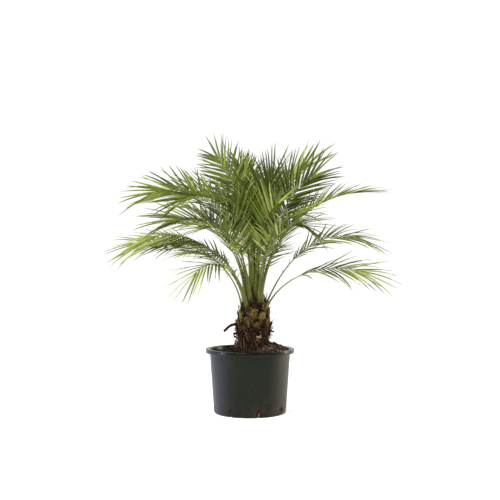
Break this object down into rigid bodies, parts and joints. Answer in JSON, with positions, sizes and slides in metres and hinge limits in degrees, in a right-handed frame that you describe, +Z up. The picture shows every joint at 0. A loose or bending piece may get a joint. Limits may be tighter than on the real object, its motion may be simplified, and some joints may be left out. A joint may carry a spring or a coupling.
{
  "type": "potted pygmy date palm",
  "caption": "Pygmy date palm in a round plastic nursery pot: a short fibrous trunk carries a fountain of arching feather fronds. It stands on the pot's flat underside.",
  "frame": {"origin": "centre of the pot's flat underside", "axes": "+Z is up along the pot's axis, -Y is the side the plant is usually seen from, and +X is to the viewer's right"},
  "size_m": [1.3365, 1.1134, 1.3025],
  "materials": {
    "nursery_pot": "satin moulded plastic, near black with a green cast, dusty and lightly scuffed",
    "potting_soil": "rough dark brown peat and bark crumbs with fine roots",
    "trunk_fibre": "matted dark red-brown fibre",
    "leaf_bases": "cut olive-green frond stumps with brown dry edges",
    "roots": "dry wiry brown roots",
    "frond_ribs": "smooth waxy yellow-green stalk",
    "leaflets": "satin green leaflet, paler along its fold, some tips dry"
  },
  "bodies": {
    "root": {"pot": "nursery_pot", "soil": "potting_soil", "trunk": "trunk_fibre", "frond_low_right": "leaflets", "frond_low_front_left": "leaflets", "frond_low_back_left": "leaflets", "frond_low_left": "leaflets", "frond_low_back_right": "leaflets", "frond_low_front": "leaflets", "frond_lower_right": "leaflets", "frond_lower_back": "leaflets", "frond_lower_left": "leaflets", "frond_lower_front": "leaflets", "frond_lower_front_right": "leaflets", "frond_lower_front_left": "leaflets", "frond_lower_back_left": "leaflets", "frond_mid_left": "leaflets", "frond_mid_back_right": "leaflets", "frond_mid_back_left": "leaflets", "frond_mid_front_right": "leaflets", "frond_upper_left": "leaflets", "frond_upper_right": "leaflets", "frond_upper_back": "leaflets", "frond_upper_front": "leaflets", "frond_high_right": "leaflets", "frond_high_left": "leaflets", "frond_high_back_right": "leaflets", "frond_top_left": "leaflets", "frond_top_right": "leaflets", "frond_spear_back": "leaflets", "frond_spear_front": "leaflets"}
  },
  "joints": []
}
